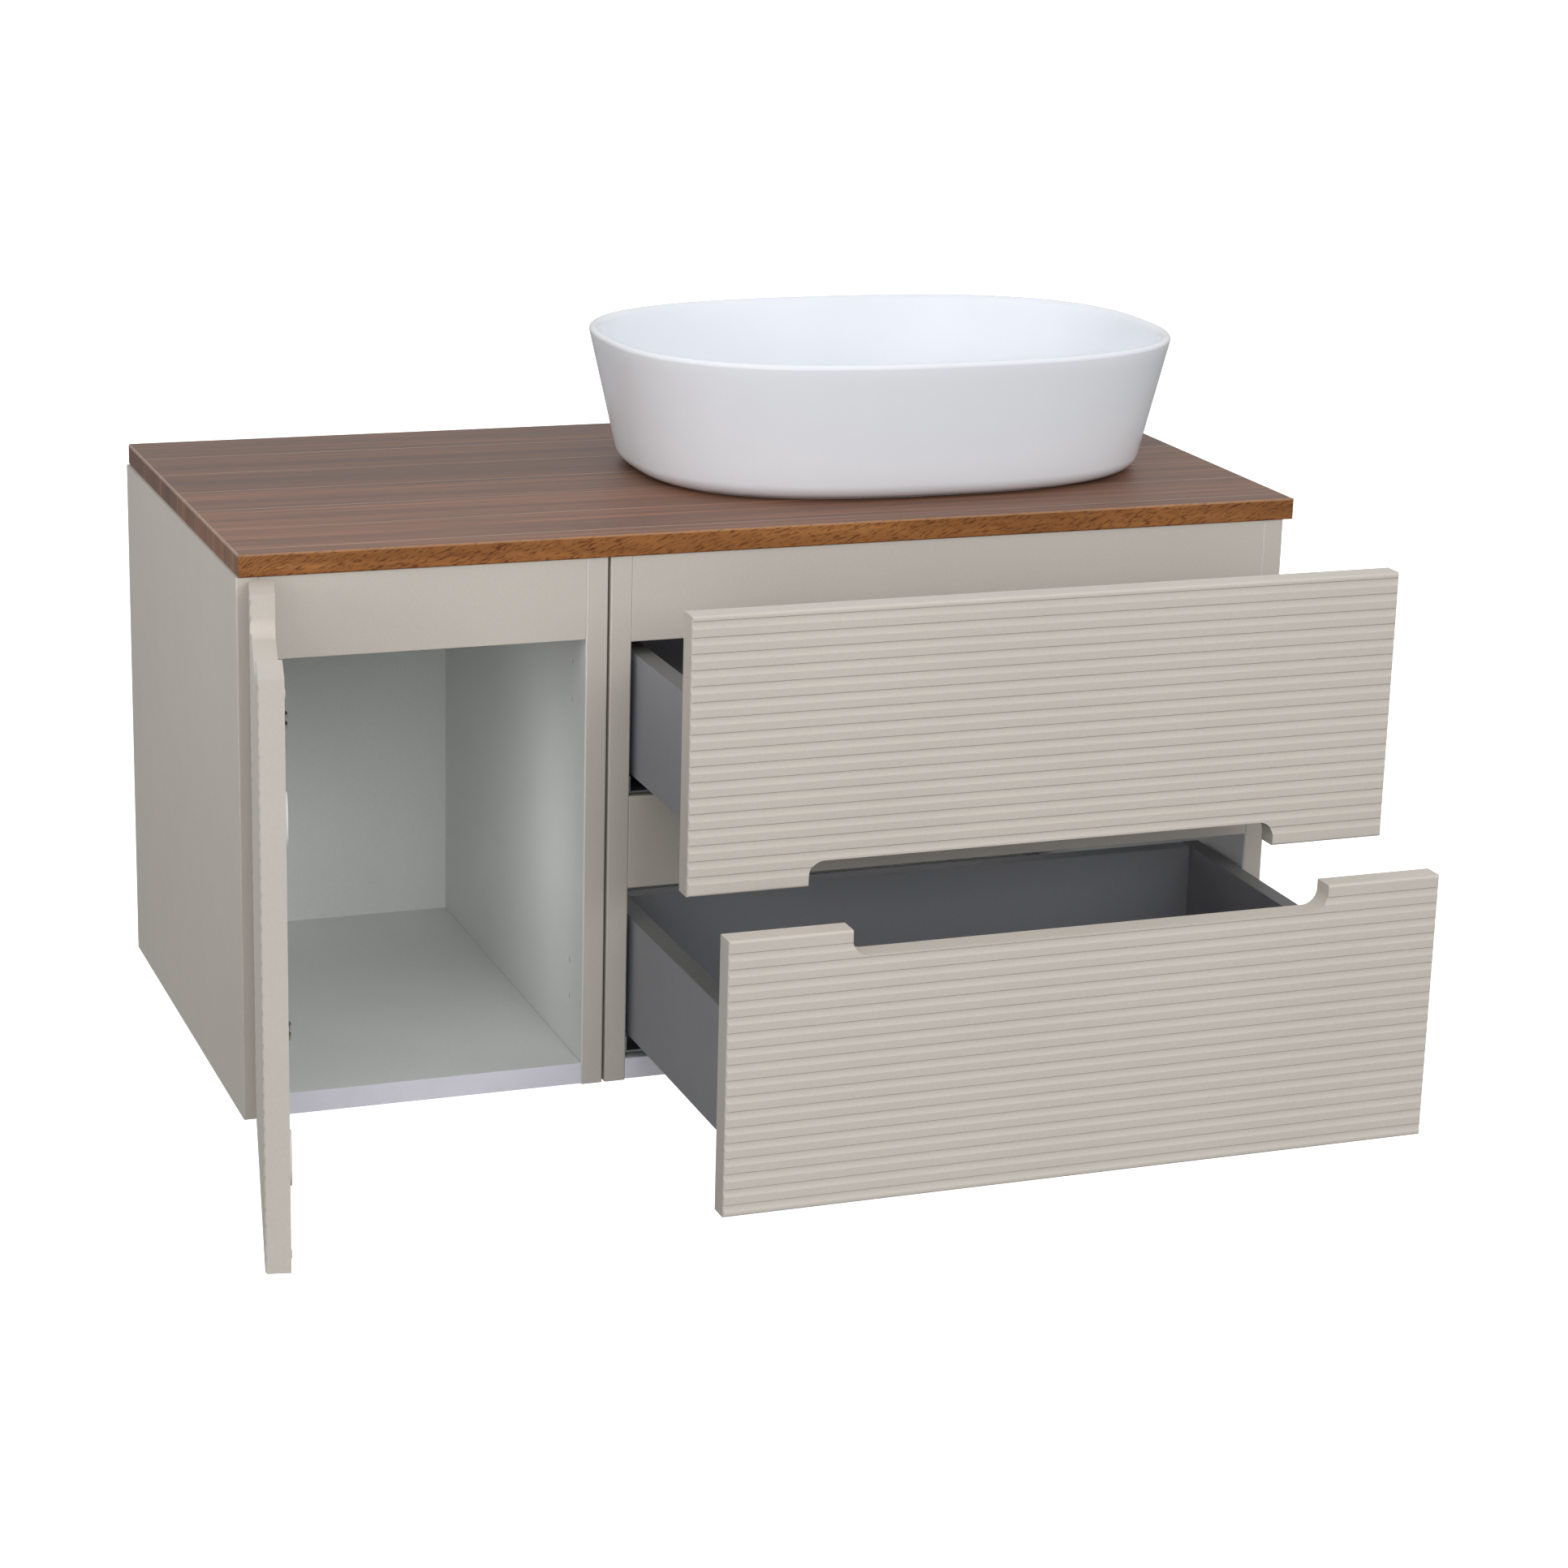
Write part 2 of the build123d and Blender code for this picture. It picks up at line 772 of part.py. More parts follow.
nodes = {
    "cupboard_left_side": cupboard_left_side(),
    "cupboard_right_side": cupboard_right_side(),
    "cupboard_bottom": bottom_panel(carcass_left, unit_split, 0),
    "cupboard_back": cupboard_back(),
    "cupboard_apron": apron(carcass_left, unit_split, cupboard_apron_height),
    "cupboard_hanging_rail": hanging_rail(carcass_left, unit_split),
    "drawer_unit_left_side": drawer_unit_left_side(),
    "drawer_unit_right_side": drawer_unit_right_side(),
    "drawer_unit_bottom": bottom_panel(drawer_unit_left, carcass_right, 0),
    "drawer_unit_apron": apron(drawer_unit_left, carcass_right, drawer_apron_height),
    "drawer_unit_mid_rail": mid_rail(),
    "drawer_unit_hanging_rail": hanging_rail(drawer_unit_left, carcass_right),
    "drawer_unit_lower_back_rail": lower_back_rail(),
    "unit_connector_bolts": unit_connector_bolts(),
    "countertop_brackets": countertop_brackets(),
    "countertop": countertop(),
    "countertop_front_band": countertop_front_band(),
    "basin": basin(),
    "basin_seal": basin_seal(),
    "waste_top_gasket": waste_top_gasket(),
    "waste_body": waste_body(),
    "waste_under_gasket": waste_under_gasket(),
    "waste_backnut": waste_backnut(),
    "waste_click_insert": waste_click_insert(),
    "waste_plug": waste_plug(),
    "door_panel": door_panel(),
    "hinge_cups": hinge_cups(),
    "hinge_cup_screws": hinge_cup_screws(),
    "hinge_hole_caps": hinge_hole_caps(),
    "door_bumpers": door_bumpers(),
    "hinge_plates": hinge_plates(),
    "hinge_plate_screws": hinge_plate_screws(),
    "hinge_arms": hinge_arms(),
}
nodes |= drawer("upper", upper_front_bottom, upper_open, upper_front_bottom, 1, flute_land)
nodes |= drawer("lower", lower_front_bottom, lower_open, front_height, -1, wide_land)

os.makedirs("parts", exist_ok=True)
for node, shape in nodes.items():
    solids = Compound(children=shape) if isinstance(shape, list) else shape
    export_step(solids, f"parts/{node}.step")
print(len(nodes), "nodes")
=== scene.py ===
import json
from math import copysign, cos, pi, radians, sin

import bmesh
import bpy
from mathutils import Matrix, Vector


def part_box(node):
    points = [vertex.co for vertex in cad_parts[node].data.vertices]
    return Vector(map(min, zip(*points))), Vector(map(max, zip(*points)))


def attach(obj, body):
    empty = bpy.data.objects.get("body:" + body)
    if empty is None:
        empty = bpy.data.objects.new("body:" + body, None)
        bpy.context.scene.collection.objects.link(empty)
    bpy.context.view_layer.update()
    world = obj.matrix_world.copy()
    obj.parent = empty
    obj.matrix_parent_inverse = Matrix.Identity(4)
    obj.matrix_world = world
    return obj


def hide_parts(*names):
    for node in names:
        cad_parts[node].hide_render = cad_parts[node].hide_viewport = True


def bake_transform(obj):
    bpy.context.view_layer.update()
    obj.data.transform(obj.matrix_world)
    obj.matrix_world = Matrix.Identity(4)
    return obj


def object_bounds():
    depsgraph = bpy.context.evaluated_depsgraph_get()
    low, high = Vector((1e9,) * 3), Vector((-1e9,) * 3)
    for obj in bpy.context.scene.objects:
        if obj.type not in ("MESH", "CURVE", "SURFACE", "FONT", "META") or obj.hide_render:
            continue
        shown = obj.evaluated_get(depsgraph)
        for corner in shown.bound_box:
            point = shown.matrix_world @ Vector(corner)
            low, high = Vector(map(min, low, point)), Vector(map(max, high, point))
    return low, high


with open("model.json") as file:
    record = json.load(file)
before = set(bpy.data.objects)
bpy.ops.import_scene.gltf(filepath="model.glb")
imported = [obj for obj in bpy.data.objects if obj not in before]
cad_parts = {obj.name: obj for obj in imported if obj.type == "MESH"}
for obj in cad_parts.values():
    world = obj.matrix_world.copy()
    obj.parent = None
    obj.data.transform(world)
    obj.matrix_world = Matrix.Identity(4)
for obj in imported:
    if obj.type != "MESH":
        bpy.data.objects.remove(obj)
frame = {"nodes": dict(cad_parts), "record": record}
cad_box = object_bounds()
nodes = frame["nodes"]


# ---------------------------------------------------------------- node materials


def srgb(red, green, blue):
    """A display colour of 0 to 255 a channel as a linear RGBA colour."""
    channels = []
    for value in (red / 255, green / 255, blue / 255):
        low = value <= 0.04045
        channels.append(value / 12.92 if low else ((value + 0.055) / 1.055) ** 2.4)
    return (*channels, 1.0)


class Finish:
    """A procedural material built round one Principled shader."""

    def __init__(self, name, **sockets):
        self.material = bpy.data.materials.new(name)
        self.material.use_nodes = True
        self.tree = self.material.node_tree
        self.shader = self.tree.nodes["Principled BSDF"]
        for socket, value in sockets.items():
            label = socket.replace("_", " ").title().replace("Ior", "IOR")
            self.shader.inputs[label].default_value = value
        self.normal = None
        self.coordinates = self.tree.nodes.new("ShaderNodeTexCoord").outputs["Object"]

    def node(self, kind, *inputs, **settings):
        """A new node with its settings, whose inputs are values or other nodes' outputs, in order."""
        made = self.tree.nodes.new(kind)
        for name, value in settings.items():
            setattr(made, name, value)
        for socket, value in inputs:
            if isinstance(value, bpy.types.NodeSocket):
                self.tree.links.new(value, made.inputs[socket])
            else:
                made.inputs[socket].default_value = value
        return made

    def scaled(self, x=1.0, y=1.0, z=1.0, vector=None):
        """The vector, or the object coordinates, stretched along each axis."""
        source = vector or self.coordinates
        return self.node("ShaderNodeMapping", ("Vector", source), ("Scale", (x, y, z))).outputs[0]

    def axis(self, name, vector=None):
        """One channel of a vector or colour, or of the object coordinates."""
        source = vector or self.coordinates
        return self.node("ShaderNodeSeparateXYZ", ("Vector", source)).outputs[name]

    def noise(self, scale, detail=4.0, roughness=0.5, vector=None, distortion=0.0):
        made = self.node(
            "ShaderNodeTexNoise",
            ("Vector", vector or self.coordinates),
            ("Scale", scale),
            ("Detail", detail),
            ("Roughness", roughness),
            ("Distortion", distortion),
        )
        return made.outputs["Fac"]

    def math(self, operation, first, second=0.0):
        return self.node("ShaderNodeMath", (0, first), (1, second), operation=operation).outputs[0]

    def ramp(self, value, *stops):
        """A colour ramp through (position, colour) stops."""
        made = self.node("ShaderNodeValToRGB", ("Fac", value))
        elements = made.color_ramp.elements
        while len(elements) < len(stops):
            elements.new(0.5)
        for element, (position, colour) in zip(elements, stops):
            element.position = position
            element.color = colour
        return made.outputs["Color"]

    def mix(self, share, first, second, blend="MIX"):
        """The second colour over the first, by a share of 0 to 1."""
        inputs = ((0, share), (6, first), (7, second))
        made = self.node("ShaderNodeMix", *inputs, data_type="RGBA", blend_type=blend)
        return made.outputs[2]

    def bump(self, height, depth, strength=1.0):
        """Relief of the given depth in metres, on top of any relief already there."""
        inputs = [("Height", height), ("Distance", depth), ("Strength", strength)]
        if self.normal:
            inputs.append(("Normal", self.normal))
        self.normal = self.node("ShaderNodeBump", *inputs).outputs["Normal"]
        self.set("Normal", self.normal)

    def set(self, socket, value):
        """Links a node's output to the shader."""
        self.tree.links.new(value, self.shader.inputs[socket])

    def spread(self, value, low, high):
        """A 0 to 1 value mapped to the range low to high."""
        made = self.node("ShaderNodeMapRange", ("Value", value), ("To Min", low), ("To Max", high))
        return made.outputs["Result"]


def shade(colour, factor):
    """The colour made darker or lighter."""
    return (*(channel * factor for channel in colour[:3]), 1.0)


beige = srgb(205, 198, 189)
interior_white = srgb(233, 236, 234)
lilac_white = srgb(232, 231, 242)


def foil(name, colour, roughness=0.42):
    """Foil over board: faint orange-peel relief, cloudy tone and fine mottling."""
    finish = Finish(name, specular_ior_level=0.45)
    cloud = finish.noise(5.0, 3.0, 0.6)
    speck = finish.noise(420.0, 2.0, 0.5)
    base = finish.ramp(cloud, (0.3, shade(colour, 0.965)), (0.7, shade(colour, 1.03)))
    fine = finish.ramp(speck, (0.35, shade(colour, 0.95)), (0.65, shade(colour, 1.04)))
    finish.set("Base Color", finish.mix(0.35, base, fine))
    gloss = finish.noise(38.0, 4.0, 0.6)
    finish.set("Roughness", finish.spread(gloss, roughness - 0.06, roughness + 0.08))
    finish.bump(finish.noise(900.0, 2.0, 0.5), 0.00004, 0.5)
    finish.bump(finish.noise(60.0, 3.0, 0.5), 0.0001, 0.25)
    return finish


def carcass_board(name, inner_face=None):
    """Beige outside and off-white on the face at the X position inner_face."""
    finish = foil(name, beige)
    if inner_face is not None:
        distance = finish.math("ABSOLUTE", finish.math("SUBTRACT", finish.axis("X"), inner_face))
        face_reach = 0.0006
        inside = finish.math("LESS_THAN", distance, face_reach)
        cloud = finish.noise(7.0, 3.0, 0.6)
        darker, lighter = shade(interior_white, 0.97), shade(interior_white, 1.02)
        pale = finish.ramp(cloud, (0.3, darker), (0.7, lighter))
        outer = finish.shader.inputs["Base Color"].links[0].from_socket
        finish.set("Base Color", finish.mix(inside, outer, pale))
    return finish.material


def white_board():
    """Off-white foil of the carcass's inner boards."""
    return foil("interior_white", interior_white, 0.38).material


def banded_or_shaded_board(name, colour, band_or_shade_colour, axis, position, roughness=0.45):
    """Foil-faced board with a strip of another tone at a position along one axis: a real edge band, or
    painted shade.
    """
    finish = foil(name, colour, roughness)
    distance = finish.math("ABSOLUTE", finish.math("SUBTRACT", finish.axis(axis), position))
    band_reach = 0.0007
    on_band = finish.math("LESS_THAN", distance, band_reach)
    face = finish.shader.inputs["Base Color"].links[0].from_socket
    cloud = finish.noise(30.0, 3.0, 0.6)
    band = finish.ramp(cloud, (0.3, shade(band_or_shade_colour, 0.97)), (0.7, shade(band_or_shade_colour, 1.03)))
    finish.set("Base Color", finish.mix(on_band, face, band))
    return finish.material


drawer_grey = srgb(147, 148, 154)
# Darker grey for the drawer sides' top edges: painted shade that offsets the bright light from above.
drawer_top_shade_grey = srgb(112, 113, 113)


def grey_board():
    """Grey foil of the drawer boxes."""
    return foil("drawer_grey", drawer_grey, 0.5).material


def raw_board():
    """Pressed wood chips."""
    finish = Finish("raw_board", roughness=0.85)
    chip = finish.node("ShaderNodeTexVoronoi", ("Vector", finish.scaled(1, 1.6, 1)), ("Scale", 420.0))
    tone = finish.axis("X", chip.outputs["Color"])
    colour = finish.ramp(
        tone, (0.1, srgb(150, 120, 85)), (0.5, srgb(190, 160, 118)), (0.9, srgb(214, 188, 148))
    )
    finish.set("Base Color", colour)
    finish.bump(tone, 0.0003, 0.5)
    return finish.material


def walnut_top():
    """Long walnut strips along X, each with its own tone, with fine streaks, pale joint lines and a
    painted highlight along the top edge of its left end.
    """
    finish = Finish("walnut_laminate", specular_ior_level=0.35)
    strip_width = 0.071
    wander = finish.noise(1.0, 2.0, 0.5, finish.scaled(1.8, 3.0, 0.0))
    drift = finish.spread(wander, -0.009, 0.009)
    strips = finish.math("DIVIDE", finish.math("ADD", finish.axis("Y"), drift), strip_width)
    strip = finish.math("FLOOR", strips)
    within = finish.math("FRACT", strips)
    tone = finish.node("ShaderNodeTexWhiteNoise", ("W", strip), noise_dimensions="1D").outputs["Value"]
    base = finish.ramp(
        tone,
        (0.0, srgb(155, 130, 117)),
        (0.35, srgb(174, 145, 128)),
        (0.7, srgb(186, 153, 132)),
        (1.0, srgb(198, 163, 139)),
    )
    offset = finish.math("MULTIPLY", tone, 7.0)
    shift = finish.node("ShaderNodeCombineXYZ", ("X", offset), ("Y", offset)).outputs[0]
    moved = finish.node(
        "ShaderNodeVectorMath", (0, finish.coordinates), (1, shift), operation="ADD"
    ).outputs[0]
    broad = finish.noise(1.0, 4.0, 0.6, finish.scaled(1.1, 46.0, 2.0, moved), 0.7)
    fine = finish.noise(1.0, 6.0, 0.7, finish.scaled(3.5, 330.0, 4.0, moved))
    pores = finish.noise(1.0, 2.0, 0.5, finish.scaled(30.0, 1300.0, 8.0, moved))
    broad_tones = finish.ramp(
        broad, (0.34, srgb(112, 96, 92)), (0.5, srgb(136, 122, 114)), (0.66, srgb(176, 150, 128))
    )
    streaked = finish.mix(0.8, base, broad_tones, "OVERLAY")
    fine_tones = finish.ramp(fine, (0.32, srgb(96, 84, 78)), (0.68, srgb(186, 166, 148)))
    lined = finish.mix(0.75, streaked, fine_tones, "OVERLAY")
    dark_pores = finish.ramp(pores, (0.30, srgb(96, 76, 66)), (0.42, (1.0, 1.0, 1.0, 1.0)))
    pored = finish.mix(0.35, lined, dark_pores, "MULTIPLY")
    edge = finish.math("MINIMUM", within, finish.math("SUBTRACT", 1.0, within))
    joint = finish.axis("X", finish.ramp(edge, (0.0, (1, 1, 1, 1)), (0.022, (0, 0, 0, 1))))
    fading = finish.spread(finish.noise(1.0, 2.0, 0.5, finish.scaled(2.5, 14.0, 1.0)), 0.0, 1.1)
    jointed = finish.mix(finish.math("MULTIPLY", joint, fading), pored, srgb(196, 162, 134))
    # Paler along the top edge of the left end: a painted highlight on the rounded edge.
    low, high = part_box("countertop")
    rim = 0.0012
    at_end = finish.math("LESS_THAN", finish.axis("X"), low.x + rim)
    at_top = finish.math("GREATER_THAN", finish.axis("Z"), high.z - 2 * rim)
    end_highlight = finish.math("MULTIPLY", finish.math("MULTIPLY", at_end, at_top), 0.45)
    finish.set("Base Color", finish.mix(end_highlight, jointed, srgb(198, 176, 160)))
    finish.set("Roughness", finish.spread(fine, 0.36, 0.52))
    finish.bump(fine, 0.00008, 0.5)
    finish.bump(pores, 0.00008, 0.5)
    return finish.material


def oak_band():
    """Tan edge band with slanting dark flecks, curved rings at its left end and a painted highlight on
    its top lip.
    """
    finish = Finish("oak_band", specular_ior_level=0.35)
    low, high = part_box("countertop_front_band")
    broad = finish.noise(1.0, 4.0, 0.6, finish.scaled(7.0, 60.0, 70.0), 0.6)
    base = finish.ramp(
        broad, (0.3, srgb(136, 87, 46)), (0.55, srgb(158, 103, 55)), (0.75, srgb(176, 120, 68))
    )
    slant = 0.32
    slanted = finish.node(
        "ShaderNodeMapping", ("Vector", finish.coordinates), ("Rotation", (0.0, slant, 0.0))
    ).outputs[0]
    fleck = finish.noise(1.0, 4.0, 0.65, finish.scaled(130.0, 400.0, 700.0, slanted), 0.3)
    flecks = finish.ramp(fleck, (0.38, srgb(112, 70, 42)), (0.49, (1.0, 1.0, 1.0, 1.0)))
    grained = finish.mix(0.7, base, flecks, "MULTIPLY")
    heart_from_end, heart_below = 0.035, 0.012
    heart = finish.node(
        "ShaderNodeVectorMath",
        (0, finish.coordinates),
        (1, (low.x + heart_from_end, low.y, low.z - heart_below)),
        operation="SUBTRACT",
    ).outputs[0]
    radius = finish.node("ShaderNodeVectorMath", (0, heart), operation="LENGTH").outputs["Value"]
    wobble, ring_rate = 0.004, 2300.0
    warped = finish.math("ADD", radius, finish.math("MULTIPLY", finish.noise(90.0, 3.0, 0.5), wobble))
    waves = finish.math("SINE", finish.math("MULTIPLY", warped, ring_rate))
    rings = finish.mix(finish.spread(waves, 0.0, 0.45), grained, srgb(104, 62, 36))
    from_end = finish.math("SUBTRACT", finish.axis("X"), low.x)
    near_end = finish.axis("X", finish.ramp(from_end, (0.03, (1, 1, 1, 1)), (0.05, (0, 0, 0, 1))))
    wood = finish.mix(near_end, grained, rings)
    # Paler along the band's top lip: a painted highlight on the edge.
    lip = 0.0013
    at_lip = finish.math("GREATER_THAN", finish.axis("Z"), high.z - lip)
    lip_highlight = finish.math("MULTIPLY", at_lip, 0.28)
    finish.set("Base Color", finish.mix(lip_highlight, wood, srgb(196, 162, 132)))
    finish.set("Roughness", finish.spread(broad, 0.4, 0.55))
    finish.bump(fleck, 0.0001, 0.5)
    return finish.material


def glaze():
    """White ceramic glaze, very slightly wavy."""
    finish = Finish("white_glaze", coat_weight=0.35, coat_roughness=0.12, specular_ior_level=0.45)
    cloud = finish.noise(6.0, 3.0, 0.5)
    colour = finish.ramp(cloud, (0.3, srgb(235, 239, 245)), (0.7, srgb(240, 243, 249)))
    finish.set("Base Color", colour)
    finish.set("Roughness", finish.spread(finish.noise(30.0, 2.0, 0.5), 0.16, 0.24))
    finish.bump(finish.noise(14.0, 2.0, 0.5), 0.0006, 0.12)
    return finish.material


def metal(name, colour, roughness, brushed=(60.0, 900.0, 900.0), depth=0.00004):
    """Plated metal with directional brushing and cloudy roughness."""
    finish = Finish(name, metallic=1.0)
    grain = finish.noise(1.0, 4.0, 0.6, finish.scaled(*brushed))
    cloud = finish.noise(60.0, 3.0, 0.6)
    finish.set("Base Color", finish.ramp(cloud, (0.3, shade(colour, 0.9)), (0.7, shade(colour, 1.05))))
    finish.set("Roughness", finish.spread(grain, roughness - 0.06, roughness + 0.1))
    finish.bump(grain, depth, 0.5)
    return finish.material


def moulded(name, colour, roughness, clarity=0.0):
    """Moulded plastic or rubber with a fine spark-eroded texture."""
    finish = Finish(name, transmission_weight=clarity)
    cloud = finish.noise(90.0, 3.0, 0.6)
    finish.set("Base Color", finish.ramp(cloud, (0.3, shade(colour, 0.95)), (0.7, shade(colour, 1.03))))
    gloss = finish.noise(300.0, 3.0, 0.6)
    finish.set("Roughness", finish.spread(gloss, roughness - 0.05, roughness + 0.08))
    finish.bump(finish.noise(1600.0, 2.0, 0.5), 0.00003, 0.5)
    return finish.material


finishes = {
    "beige_board": carcass_board("beige_foil"),
    "fluted_front": foil("fluted_foil", beige).material,
    "white_board": white_board(),
    "grey_board": grey_board(),
    "raw_board": raw_board(),
    "walnut_top": walnut_top(),
    "oak_band": oak_band(),
    "white_glaze": glaze(),
    "silicone": moulded("silicone_bead", srgb(226, 226, 222), 0.35),
    "rubber_black": moulded("black_rubber", srgb(38, 38, 38), 0.6),
    "chrome_waste": metal("chrome_plate", srgb(222, 224, 227), 0.1, (300.0, 300.0, 300.0), 0.00001),
    "waste_plastic": moulded("white_plastic", srgb(222, 222, 218), 0.4),
    "zinc_steel": metal("zinc_plate", srgb(176, 178, 182), 0.38, (500.0, 40.0, 500.0)),
    "hinge_nickel": metal("nickel_plate", srgb(200, 196, 188), 0.24, (400.0, 60.0, 400.0)),
    "screw_steel": metal("screw_zinc", srgb(190, 190, 190), 0.3, (400.0, 400.0, 400.0)),
    "cap_white": moulded("cap_white_plastic", srgb(232, 233, 232), 0.3),
    "bumper_clear": moulded("bumper_soft_plastic", srgb(224, 224, 218), 0.3),
    "nylon": moulded("roller_nylon", srgb(226, 222, 210), 0.45),
}


def give(piece, material):
    """Makes material the piece's only one."""
    piece.data.materials.clear()
    piece.data.materials.append(material)


slot_of = {part["node"]: part["material_slot"] for part in frame["record"]["subparts"]}
body_of = {node: body for body, own in frame["record"]["behaviour"]["bodies"].items() for node in own}
for name, piece in nodes.items():
    give(piece, finishes[slot_of[name]])

two_faced = {}
for board, foil_name in (("cupboard_bottom", "cupboard_bottom"), ("drawer_unit_bottom", "drawer_bottom")):
    front_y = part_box(board)[0].y
    two_faced[board] = banded_or_shaded_board(foil_name + "_foil", interior_white, lilac_white, "Y", front_y)
for side, inner_corner in (("left", 1), ("right", 0)):
    for unit in ("cupboard", "drawer_unit"):
        board = unit + "_" + side + "_side"
        inner_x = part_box(board)[inner_corner].x
        two_faced[board] = carcass_board(unit + "_" + side + "_foil", inner_x)


# ---------------------------------------------------------------- mesh helpers


weld = 1e-6
soft_crease = 0.6


def stand_for(name, mesh, *replaced, smooth_angle=None, material=None):
    """A piece made of mesh that rides with, and takes its finish from, the CAD nodes it replaces."""
    if smooth_angle is not None:
        mesh.polygons.foreach_set("use_smooth", [True] * len(mesh.polygons))
        mesh.set_sharp_from_angle(angle=smooth_angle)
    piece = bpy.data.objects.new(name, mesh)
    bpy.context.scene.collection.objects.link(piece)
    give(piece, material or finishes[slot_of[replaced[0]]])
    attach(piece, body_of[replaced[0]])
    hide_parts(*replaced)
    return piece


def filled_mesh(name, shape):
    """The bmesh as a mesh with outward normals."""
    bmesh.ops.recalc_face_normals(shape, faces=shape.faces)
    mesh = bpy.data.meshes.new(name)
    shape.to_mesh(mesh)
    shape.free()
    return mesh


def cad_shape(node):
    """A welded copy of a CAD node's mesh, with its flat faces made whole."""
    shape = bmesh.new()
    shape.from_mesh(nodes[node].data)
    shape.transform(nodes[node].matrix_world)
    bmesh.ops.remove_doubles(shape, verts=shape.verts, dist=weld)
    bmesh.ops.dissolve_limit(
        shape, angle_limit=0.002, verts=shape.verts, edges=shape.edges, delimit={"NORMAL"}
    )
    return shape


def eased_board(node, width=0.0006):
    """The CAD board with all its sharp edges eased, as edge banding leaves them."""
    shape = cad_shape(node)
    square_edge = 0.7
    sharp = [edge for edge in shape.edges if edge.is_manifold and edge.calc_face_angle() > square_edge]
    bmesh.ops.bevel(
        shape, geom=sharp, offset=width, segments=3, profile=0.5, affect="EDGES", clamp_overlap=True
    )
    return stand_for(node + "_board", filled_mesh(node, shape), node, material=two_faced.get(node))


def lathe(shape, profile, centre, axis, around=40):
    """Adds a surface turned about axis through centre; profile is (radius, distance along axis)."""
    turn = Vector((0, 0, 1)).rotation_difference(Vector(axis)).to_matrix()
    rings = []
    for radius, along in profile:
        ring = []
        for step in range(around if radius > 0 else 1):
            angle = 2 * pi * step / around
            point = Vector((radius * cos(angle), radius * sin(angle), along))
            ring.append(shape.verts.new(Vector(centre) + turn @ point))
        rings.append(ring)
    for first, second in zip(rings, rings[1:]):
        for step in range(around):
            following = step + 1
            corners = [first[step % len(first)], first[following % len(first)]]
            corners += [second[following % len(second)], second[step % len(second)]]
            unique = list(dict.fromkeys(corners))
            if len(unique) > 2:
                shape.faces.new(unique)


def skin(shape, sections):
    """Joins rows of vertices, each a closed outline, into one closed solid."""
    for first, second in zip(sections, sections[1:]):
        for index in range(len(first)):
            following = (index + 1) % len(first)
            shape.faces.new((first[index], first[following], second[following], second[index]))
    shape.faces.new(sections[0])
    shape.faces.new(sections[-1])


# ---------------------------------------------------------------- basin and waste


basin_low, basin_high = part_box("basin")
basin_centre = (basin_low + basin_high) / 2
outline_power = 2.6


def oval_ring(shape, half_length, half_width, z, power=outline_power, around=144):
    """A closed row of vertices round the basin's axis, on a superellipse."""
    ring = []
    for step in range(around):
        turn = 2 * pi * step / around
        x = copysign(abs(cos(turn)) ** (2 / power), cos(turn))
        y = copysign(abs(sin(turn)) ** (2 / power), sin(turn))
        place = (basin_centre.x + half_length * x, basin_centre.y + half_width * y, z)
        ring.append(shape.verts.new(place))
    return ring


def outer_size(z):
    """Half sizes of the basin's flared outer wall at height z."""
    rim = ((basin_high.x - basin_low.x) / 2, (basin_high.y - basin_low.y) / 2)
    foot = (rim[0] * 0.893, rim[1] * 0.886)
    share = (z - basin_low.z) / (basin_high.z - basin_low.z)
    return [a + (b - a) * share for a, b in zip(foot, rim)]


